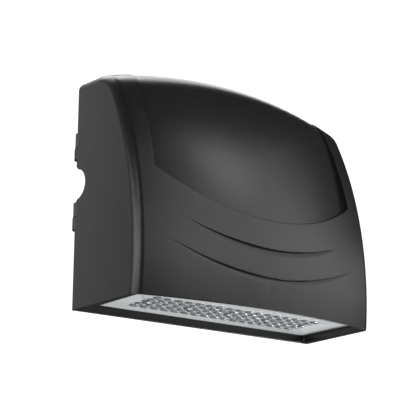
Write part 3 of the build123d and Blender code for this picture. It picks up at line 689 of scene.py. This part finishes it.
# Node, way its shank points, head radius, head height, shank radius (mm), body, slot, finish.
SCREWS = [
    ("lens_screws", (0, 0, 1), 3.8, 2.6, 1.9, "door", "stainless", "stainless_steel"),
    ("pan_screws", (0, -1, 0), 3.8, 2.6, 1.9, "door", "stainless", "stainless_steel"),
    ("driver_screws", (0, -1, 0), 3.8, 2.6, 1.9, "door", "stainless", "stainless_steel"),
    ("terminal_screws", (0, -1, 0), 2.6, 1.8, 1.4, "door", "stainless", "stainless_steel"),
    ("ground_screw", (0, 1, 0), 3.8, 2.6, 1.9, "base", "ground_green", "green_dyed_steel"),
]


class SmallScrews(bpy.types.Operator):
    """Make the pan-head screws with their cross recess."""

    bl_idname = "wall_light.small_screws"
    bl_label = "Small screws"

    def execute(self, context):
        for node, way, head_radius, head_height, shank_radius, body, slot, finish in SCREWS:
            axis = Vector(way)
            boxes = node_islands(node)
            low, high = boxes[0]
            depth = abs((high - low).dot(axis))
            back = axis * (depth / 2 - head_height * MM)
            places = [(low + high) / 2 - back for low, high in boxes]
            template = cross_recess_screw(head_radius * MM, head_height * MM, shank_radius * MM,
                                          depth - head_height * MM)
            turn = axis.to_track_quat("Z", "Y").to_euler()
            mesh = repeated(node + "_fine", places, template, tuple(turn), finish, SHARP_ANGLE)
            piece = mesh_object(node + "_fine", mesh, body)
            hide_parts(node)
        return {"FINISHED"}


# ---------------------------------------------------------------- CAD pieces that keep their shape
FINISHES = {
    "back_box": "powder_coat_black",
    "lens_gasket": "silicone_rubber_black",
    "thermal_pad": "heat_pad_grey",
    "led_board": "white_solder_mask",
    "led_leads": "wire_insulation_red",
    "lead_grommet": "silicone_rubber_black",
    "gear_pan": "galvanised_sheet",
    "pan_grommet": "silicone_rubber_black",
    "driver": "white_enamel",
    "supply_terminal": "pbt_terminal",
    "box_gasket": "silicone_rubber_black",
    "conduit_plugs": "nylon_plug_black",
    "hinge_pins": "stainless_steel",
    "ground_washer": "stainless_steel",
    "screw_retainers": "stainless_steel",
    "closing_screw_upper": "stainless_steel",
    "closing_screw_lower": "stainless_steel",
}


COARSE_FACE = 4 * MM * MM       # area above which a face of the cover counts as coarse
STRAY_LIMIT = 8.0               # degrees that a normal may lean from a coarse face


def cleaned_casting(node, coarse, limit):
    """Merged copy of a casting; on coarse faces a normal that strays past the limit lies flat."""
    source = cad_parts[node].data
    normals = [corner.vector.copy() for corner in source.corner_normals]
    for polygon in source.polygons:
        if polygon.area > coarse:
            for corner in polygon.loop_indices:
                if normals[corner].angle(polygon.normal, 0.0) > limit:
                    normals[corner] = polygon.normal.copy()
    mesh = source.copy()
    form = bmesh.new()
    form.from_mesh(mesh)
    bmesh.ops.remove_doubles(form, verts=form.verts, dist=MERGE / 10)
    form.to_mesh(mesh)
    form.free()
    if len(mesh.loops) != len(normals):
        raise RuntimeError(node + " lost faces when it was merged")
    mesh.normals_split_custom_set(normals)
    return mesh


class CoverCasting(bpy.types.Operator):
    """Make the cover's coated surface, with the shading marks of its mesh taken out."""

    bl_idname = "wall_light.cover_casting"
    bl_label = "Cover casting"

    def execute(self, context):
        mesh = cleaned_casting("front_cover", COARSE_FACE, math.radians(STRAY_LIMIT))
        mesh.materials.clear()
        mesh.materials.append(bpy.data.materials["powder_coat_black"])
        piece = mesh_object("cover_casting", mesh, "door")
        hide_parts("front_cover")
        return {"FINISHED"}


class CastAndPressedPieces(bpy.types.Operator):
    """Give the castings, sheet and rubber their finishes."""

    bl_idname = "wall_light.cast_and_pressed"
    bl_label = "Cast and pressed pieces"

    def execute(self, context):
        for name, finish in FINISHES.items():
            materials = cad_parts[name].data.materials
            materials.clear()
            materials.append(bpy.data.materials[finish])
        return {"FINISHED"}


class Materials(bpy.types.Operator):
    """Make the finishes."""

    bl_idname = "wall_light.materials"
    bl_label = "Finishes"

    def execute(self, context):
        build_materials()
        return {"FINISHED"}


# ---------------------------------------------------------------- stage
FLOOR_HALF = 4.0
FLOOR_LEVEL = -1.9              # below the lowest lamp
ROOM_GLOW = 0.04                # strength of the surroundings on the object
BACKDROP = 1.2                  # strength of the white behind it
CAMERA_PLACE = (-0.79806, -1.09505, -0.3807)
CAMERA_LOOK = (0.58334, 0.76423, 0.27508)
CAMERA_UP = (-0.16826, -0.21763, 0.96142)
CAMERA_LENS = 111.0             # mm, on a sensor of 36 mm
CAMERA_SENSOR = 36.0
CAMERA_NEAR = 0.05
LAMP_TARGET = (0.01, -0.08, 0.0)
LAMP_DISTANCE = 1.6
# Name, degrees to the right of the front, degrees up, width and height (m), watts.
SOFTBOXES = [
    ("key", 37.5, 17.5, 1.85, 1.85, 5.7),
    ("key_core", 37.5, 17.5, 0.89, 0.89, 1.64),
    ("key_right", 48, 28, 0.6, 0.9, 1.22),
    ("key_left", 20, 12, 0.6, 0.9, 1.11),
    ("key_top", 30, 40, 0.45, 0.45, 1.7),
    ("key_strip", 37.5, 12, 2.6, 0.45, 3.2),
    ("key_upper_strip", 30, 25, 2.0, 0.45, 1.33),
    ("key_foot", 50, 2, 0.9, 0.5, 1.0),
    ("front_left", -45, 15, 0.6, 0.9, 3.4),
    ("corner_strip", -75, 10, 1.36, 0.45, 7.25),
    ("side", -105, 10, 0.6, 0.6, 2.15),
    ("side_fill", -90, -20, 2.4, 1.0, 1.93),
    ("rear_left", -150, 35, 0.6, 2.4, 2.76),
    ("rear_left_low", -150, 12, 0.9, 0.9, 1.05),
    ("rear_left_top", -150, 60, 0.9, 0.9, 5.62),
    ("rear_top", 180, 62, 0.9, 0.9, 9.0),
    ("rear_right", 135, 55, 0.6, 1.2, 5.72),
    ("underneath", 0, -88, 3.0, 3.0, 5.0),
    ("optics_glint", 90, -50, 0.45, 0.45, 18.0),
]


def softbox(name, azimuth, elevation, width, height, power):
    """Rectangular area light that looks at the middle of the object."""
    side = math.radians(azimuth)
    rise = math.radians(elevation)
    way = Vector((math.sin(side) * math.cos(rise), -math.cos(side) * math.cos(rise), math.sin(rise)))
    data = bpy.data.lights.new(name, "AREA")
    data.shape = "RECTANGLE"
    data.size = width
    data.size_y = height
    data.energy = power
    lamp = linked(name, data)
    lamp.location = Vector(LAMP_TARGET) + way * LAMP_DISTANCE
    lamp.rotation_euler = (-way).to_track_quat("-Z", "Y").to_euler()


class Stage(bpy.types.Operator):
    """Make the floor, the soft lights, the pale surroundings and the camera."""

    bl_idname = "wall_light.stage"
    bl_label = "Stage"

    def execute(self, context):
        scene = context.scene
        scene.view_settings.view_transform = "Standard"
        floor_mesh = bpy.data.meshes.new("floor")
        corners = [(x * FLOOR_HALF, y * FLOOR_HALF, FLOOR_LEVEL)
                   for x, y in ((-1, -1), (1, -1), (1, 1), (-1, 1))]
        floor_mesh.from_pydata(corners, [], [(0, 1, 2, 3)])
        floor = linked("floor", floor_mesh)
        tree = new_material("pale_paper")
        fibre = grain(tree, 4 * MM)
        shader = add(tree, "ShaderNodeBsdfPrincipled",
                     links={"Base Color": tint(tree, fibre, "ECECEA", "F4F4F2"),
                            "Roughness": spread(tree, fibre, 0.7, 0.9)})
        finish_shader(tree, shader)
        floor_mesh.materials.append(bpy.data.materials["pale_paper"])

        world = bpy.data.worlds.new("studio")
        world.use_nodes = True
        tree = world.node_tree
        tree.nodes.clear()
        seen = add(tree, "ShaderNodeLightPath")
        glow, white = [add(tree, "ShaderNodeBackground",
                           values={"Color": linear("FFFFFF"), "Strength": strength})
                       for strength in (ROOM_GLOW, BACKDROP)]
        mixed = add(tree, "ShaderNodeMixShader",
                    links={0: seen.outputs["Is Camera Ray"], 1: glow.outputs[0], 2: white.outputs[0]})
        add(tree, "ShaderNodeOutputWorld", links={"Surface": mixed.outputs[0]})
        scene.world = world

        for lamp in SOFTBOXES:
            softbox(*lamp)

        data = bpy.data.cameras.new("camera")
        data.lens = CAMERA_LENS
        data.sensor_width = CAMERA_SENSOR
        data.clip_start = CAMERA_NEAR
        camera = linked("camera", data)
        camera.location = CAMERA_PLACE
        look = Vector(CAMERA_LOOK).normalized()
        right = look.cross(Vector(CAMERA_UP)).normalized()
        camera.rotation_euler = Matrix((right, right.cross(look), -look)).transposed().to_euler()
        scene.camera = camera
        return {"FINISHED"}


# ---------------------------------------------------------------- panel and registration
class WallLightPanel(bpy.types.Panel):
    """Lists the pieces of the wall light."""

    bl_idname = "VIEW3D_PT_wall_light"
    bl_label = "Wall pack light"
    bl_space_type = "VIEW_3D"
    bl_region_type = "UI"
    bl_category = "Wall Light"

    def draw(self, context):
        for operator in OPERATORS:
            self.layout.operator(operator.bl_idname)
        for group in (context.scene.wall_light_sizes, context.scene.wall_light_colours):
            for name in group.__annotations__:
                self.layout.prop(group, name)


OPERATORS = (Materials, OpticsPlate, Emitters, SmallScrews, CoverCasting, CastAndPressedPieces, Stage)
CLASSES = (WallLightSizes, WallLightColours) + OPERATORS + (WallLightPanel,)


def register():
    for item in CLASSES:
        bpy.utils.register_class(item)
    bpy.types.Scene.wall_light_sizes = bpy.props.PointerProperty(type=WallLightSizes)
    bpy.types.Scene.wall_light_colours = bpy.props.PointerProperty(type=WallLightColours)


def unregister():
    del bpy.types.Scene.wall_light_colours
    del bpy.types.Scene.wall_light_sizes
    for item in reversed(CLASSES):
        bpy.utils.unregister_class(item)


def main():
    """Register, and make every piece in order."""
    register()
    bpy.ops.wall_light.materials()
    bpy.ops.wall_light.optics_plate()
    bpy.ops.wall_light.emitters()
    bpy.ops.wall_light.small_screws()
    bpy.ops.wall_light.cover_casting()
    bpy.ops.wall_light.cast_and_pressed()
    bpy.ops.wall_light.stage()


if __name__ == "__main__":
    main()
